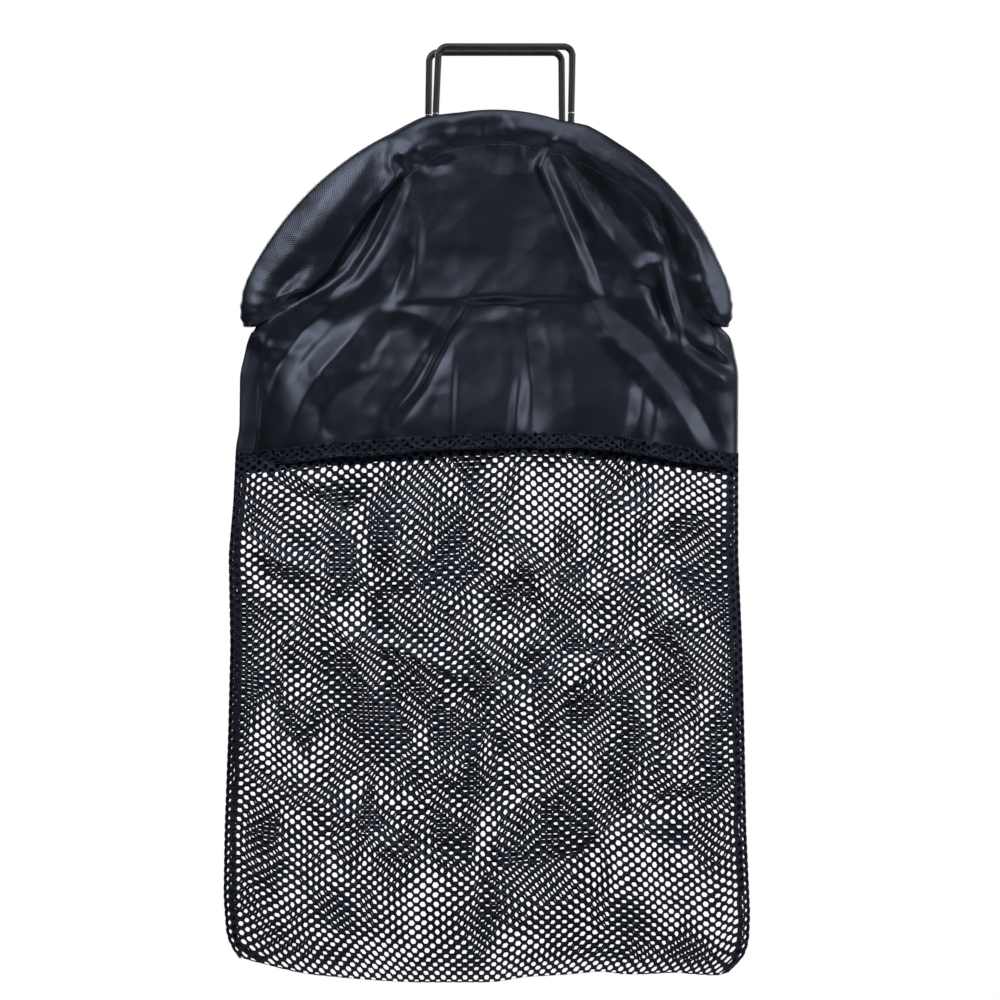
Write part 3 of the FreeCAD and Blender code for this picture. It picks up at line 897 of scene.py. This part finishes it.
def net_map(side):
    """The folds of one face of the netting, in mm."""
    x, z = (part.ravel() for part in np.meshgrid(NET_X, NET_Z))
    flip, seed = (1, 3) if side == "front" else (-1, 14)
    bend_x = x + 9 * swell(x, z, 60, 60, seed + 2)
    bend_z = z + 9 * swell(x, z, 60, 60, seed + 3)
    heights = fold_height(flip * bend_x, bend_z, NET_FOLDS)
    heights = heights + 2.4 * facets(bend_x, bend_z, 48, seed) + 0.6 * facets(bend_x, bend_z, 24, seed + 1)
    heights = heights + 4.0 * swell(x, z, 70, 180, seed + 4)
    heights = heights.reshape(len(NET_Z), len(NET_X))
    heights[1:-1] = (heights[:-2] + 2 * heights[1:-1] + heights[2:]) / 4
    heights[:, 1:-1] = (heights[:, :-2] + 2 * heights[:, 1:-1] + heights[:, 2:]) / 4
    return heights


def net_panel(side):
    """One face of the netting, hung from its hem to the fold at the foot."""
    piece = flat_net(f"{side}_netting", NET_COLUMNS, NET_ROWS)
    u, w, _ = places(piece)
    seed = 1.0 if side == "front" else 23.0
    across = np.clip(u / (NET_COLUMNS * CELL_X) + 0.5, 0, 1)
    down = np.clip(-w / (NET_ROWS * CELL_Z), 0, 1)
    steer = (smooth_step(0, 0.10, np.minimum(across, 1 - across)) *
             smooth_step(0, 0.05, np.minimum(down, 1 - down)))
    across = across + steer * (0.011 * swell(u, w, 120, 90, seed) + 0.005 * swell(u, w, 45, 60, seed + 2))
    across = across + steer * 0.0016 * swell(u, w, 17, 19, seed + 3)
    down = down + steer * (0.010 * swell(u, w, 110, 120, seed + 5) + 0.004 * swell(u, w, 50, 40, seed + 7))
    down = down + steer * 0.0016 * swell(u, w, 17, 15, seed + 9)
    if side == "rear":
        down = down + 0.004 * steer
    top_guess = HEM_Z + 4
    z = top_guess + (NET_BOTTOM_Z - top_guess) * down
    for _ in range(3):
        left, right = left_edge(z), right_edge(z)
        # From each seam the netting runs out to the silhouette and turns back over itself.
        length = right - left + 2 * (NET_ROLL + NET_BEHIND)
        from_left = across * length - NET_BEHIND
        from_right = (1 - across) * length - NET_BEHIND
        past = np.minimum(from_left, from_right)
        inset = np.hypot(past, NET_ROLL) - NET_ROLL
        x = np.where(from_left < from_right, left + inset, right - inset)
        top, foot = hem_top(side, x) - 1, along(FOOT_LINE, x)
        z = top + (foot - top) * down
    edge = np.maximum(past, 0)
    from_foot = np.maximum(z - foot, 0)
    quiet = smooth_step(0, 26, edge) * smooth_step(0, 26, from_foot) * smooth_step(0, 16, top - z)
    folds = NET_MAPS[side]
    slope_z, slope_x = np.gradient(folds, NET_STEP)
    x = x + quiet * NET_FULL * read_map(slope_x, NET_X[0], NET_Z[0], NET_STEP, x, z)
    z = z + quiet * NET_FULL * read_map(slope_z, NET_X[0], NET_Z[0], NET_STEP, x, z)
    stand = 4.0 + (NET_DEPTH - 4.0) * (1 - np.exp(-edge / 15))
    stand = np.where(past < 0, 1.0 + 3.0 * (1 + past / NET_BEHIND), stand)
    stand = stand * (1 - 0.9 * np.exp(-from_foot / 26))
    stand = stand + quiet * read_map(folds, NET_X[0], NET_Z[0], NET_STEP, x, z)
    y = HINGE_Y + facing(side) * np.maximum(stand, 0.8)
    set_places(piece, x, y, z)
    thicken(piece, NET_THICK)
    bake_modifiers(piece)
    dress(piece, NET)
    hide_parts(f"{side}_net")
    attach(piece, "bag")


NET_MAPS = {"front": net_map("front"), "rear": net_map("rear")}


def hem_place(side, across, down, seed, rise):
    """Where a point of the crumpled hem lies, rise mm above the nylon."""
    z = HEM_Z + 4 - 12 * down
    x = left_edge(z) + (right_edge(z) - left_edge(z)) * across
    top = hem_top(side, x) + 2.2 + 1.6 * swell(x, down * 20, 14, 60, seed)
    z = top - (13.5 + 1.5 * swell(x, x, 30, 999, seed + 4)) * down + 1.3 * swell(x, z, 6, 6, seed + 3)
    crumple = 1.6 + 1.5 * swell(x, z, 9, 7, seed + 1) + 0.9 * swell(x, z, 4, 4, seed + 2)
    y = panel_base(side, x, z) + facing(side) * (panel_lift(side, x, z) + rise + crumple)
    return x, y, z


def hem_band(side):
    """The netting's top edge, folded in on itself and sewn over the nylon's foot."""
    first_seed = 31 if side == "front" else 81

    def place(across, down):
        return hem_place(side, across, down * 0.92 + 0.04, first_seed, 0.6)

    core = cloth_mesh(f"{side}_hem_core", 420, 14, place, HEM_CORE_CUT)
    thicken(core, NET_THICK)
    bake_modifiers(core)
    dress(core, NET)
    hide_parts(f"{side}_hem_band")
    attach(core, "bag")
    for layer in range(HEM_LAYERS):
        piece = flat_net(f"{side}_hem_layer_{layer}", NET_COLUMNS + 4, 2)
        u, w, _ = places(piece)
        seed = first_seed + 7 * layer
        across = u / ((NET_COLUMNS + 4) * CELL_X) + 0.5
        across = across + 0.010 * swell(u, w, 24, 20, seed) + 0.004 * swell(u, w, 7, 7, seed + 1)
        across = np.clip(across, 0, 1)
        down = np.clip(-w / (2 * CELL_Z) + 0.1 * swell(u, w, 12, 12, seed + 2), 0, 1)
        set_places(piece, *hem_place(side, across, down, seed, 1.4 + 0.8 * layer))
        thicken(piece, NET_THICK)
        bake_modifiers(piece)
        dress(piece, NET)
        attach(piece, "bag")


def stitch_row(name, line, spacing, replaced, body):
    """Machine stitching: line() gives x, y and z in mm for shares of its length."""
    shares = np.linspace(0, 1, 800)
    spots = np.stack(line(shares), 1)
    length = np.concatenate([[0], np.cumsum(np.linalg.norm(np.diff(spots, axis=0), axis=1))])
    count = int(length[-1] / spacing)
    bm = bmesh.new()
    for i in range(count):
        ends = [np.array([np.interp((i + k) * spacing, length, spots[:, c]) for c in range(3)])
                for k in (0.12, 0.88)]
        run = Vector(ends[1] - ends[0])
        turn = run.to_track_quat("X", "Z").to_matrix().to_4x4()
        turn.translation = Vector((ends[0] + ends[1]) / 2)
        made = bmesh.ops.create_uvsphere(bm, u_segments=7, v_segments=5, radius=1.0)["verts"]
        bmesh.ops.scale(bm, verts=made, vec=(run.length / 2, THREAD_R, THREAD_R))
        bmesh.ops.transform(bm, verts=made, matrix=turn)
    bmesh.ops.scale(bm, verts=bm.verts, vec=(MM, MM, MM))
    piece = finish_piece(name, bm)
    dress(piece, THREAD)
    if replaced:
        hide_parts(replaced)
    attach(piece, body)


def hem_stitches(side):
    """The row that holds the hem to the nylon."""
    def line(share):
        x = -206 + 412 * share
        z = hem_top(side, x) - 9 + 0.5 * np.sin(x / 11)
        y = panel_base(side, x, z) + facing(side) * (panel_lift(side, x, z) + 4.6)
        return x, y, z

    stitch_row(f"{side}_hem_stitches", line, 3.4, f"{side}_hem_thread", "bag")


# --- Tapes, seams and stitching -----------------------------------------------
def ribbon(name, line, width, thick, columns):
    """A flat tape along a line. line() gives x, y and z in mm for shares of its length."""
    def place(share, round_):
        turn = 2 * math.pi * round_
        x, y, z = line(share)
        flat_x = np.sign(np.cos(turn)) * np.abs(np.cos(turn)) ** 0.4 * width / 2
        flat_y = np.sign(np.sin(turn)) * np.abs(np.sin(turn)) ** 0.6 * thick / 2
        step = 1e-3
        x1, _, z1 = line(share + step)
        x2, _, z2 = line(share - step)
        size = np.hypot(x1 - x2, z1 - z2)
        return x + (z1 - z2) / size * flat_x, y + flat_y, z - (x1 - x2) / size * flat_x

    piece = cloth_mesh(name, columns, 16, place, (400.0, 2 * width), closed=True)
    bm = bmesh.new()
    bm.from_mesh(piece.data)
    bmesh.ops.holes_fill(bm, edges=[e for e in bm.edges if e.is_boundary], sides=0)
    bm.to_mesh(piece.data)
    bm.free()
    return piece


def side_tape(name, edge, inward):
    """Binding over a side seam of the netting, carried round the lower corner."""
    top = HEM_Z - 12
    foot = NET_BOTTOM_Z + (46 if name == "left" else 22)
    corner = 26.0 if name == "left" else 10.0

    def line(share):
        z = top + (foot - top) * np.minimum(share / 0.93, 1)
        x = edge(z) + inward * (NET_BEHIND - 1.5)
        past = np.maximum(share - 0.93, 0) / 0.07
        z = z - corner * np.sin(past * math.pi / 2)
        x = x + inward * corner * (1 - np.cos(past * math.pi / 2))
        return x + 0.8 * np.sin(z / 13) + 0.6 * np.sin(z / 5.1), HINGE_Y + 0.4 * np.sin(z / 9), z

    piece = ribbon(f"{name}_binding", line, 4.6, 2.4, 240)
    dress(piece, TAPE)
    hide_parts(f"{name}_side_tape")
    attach(piece, "bag")


def left_facing(side):
    """The strip that binds the collar's left edge, flat against it."""
    def place(across, up):
        z = FACING_FOOT_Z + FACING_CUT[1] * up
        left = left_edge(z)
        x = left - 0.4 + (FACING_CUT[0] + 0.5 * np.sin(z / 23)) * across
        y = panel_base(side, x, z) + facing(side) * (0.9 + 0.5 * swell(x, z, 12, 26, 51))
        return x, y, z

    piece = cloth_mesh(f"{side}_left_facing", 14, 90, place, FACING_CUT)
    thicken(piece, NYLON_THICK)
    bake_modifiers(piece)
    dress(piece, NYLON)
    if side == "front":
        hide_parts("left_collar_seam")
    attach(piece, "bag")

    def line(share):
        z = FACING_FOOT_Z + 6 + (FACING_CUT[1] - 10) * share
        x = left_edge(z) + FACING_WIDTH - 3.2 + 0.3 * np.sin(z / 7)
        return x, panel_base(side, x, z) + facing(side) * 1.6, z

    stitch_row(f"{side}_facing_stitches", line, 2.6, None, "bag")


def bar_tack(name, middle_x):
    """Close zigzag stitching at the top of a side seam."""
    def line(share):
        x = middle_x + 8 * (share - 0.5)
        z = -247 - abs(middle_x - x) * 0.1 + 1.4 * (np.abs((share * 9) % 1 - 0.5) * 2 - 0.5)
        y = panel_base("front", x, z) - panel_lift("front", x, z) - 0.9
        return x, y, z

    stitch_row(f"{name}_tack_stitches", line, 1.4, f"{name}_bar_tack", "bag")


# --- Everything ---------------------------------------------------------------
def refinish_frame():
    """Materials for the frame's own pieces."""
    for name, node in frame["nodes"].items():
        if name.endswith("_tube"):
            finish = VINYL
        elif name.endswith(("_rod", "_rivet", "_washer")):
            finish = STEEL
        elif name.endswith(("_thread", "_tack")):
            finish = THREAD
        elif name.endswith("_seam"):
            finish = NYLON
        else:
            continue
        node.data.materials.clear()
        node.data.materials.append(finish)


camera()
studio()
refinish_frame()
for side in ("front", "rear"):
    nylon_panel(side)
    nylon_sleeve(side)
    sleeve_stitches(side)
    net_panel(side)
    hem_band(side)
    hem_stitches(side)
    left_facing(side)
bar_tack("left", -202)
bar_tack("right", 208)
side_tape("left", left_edge, 1)
side_tape("right", right_edge, -1)
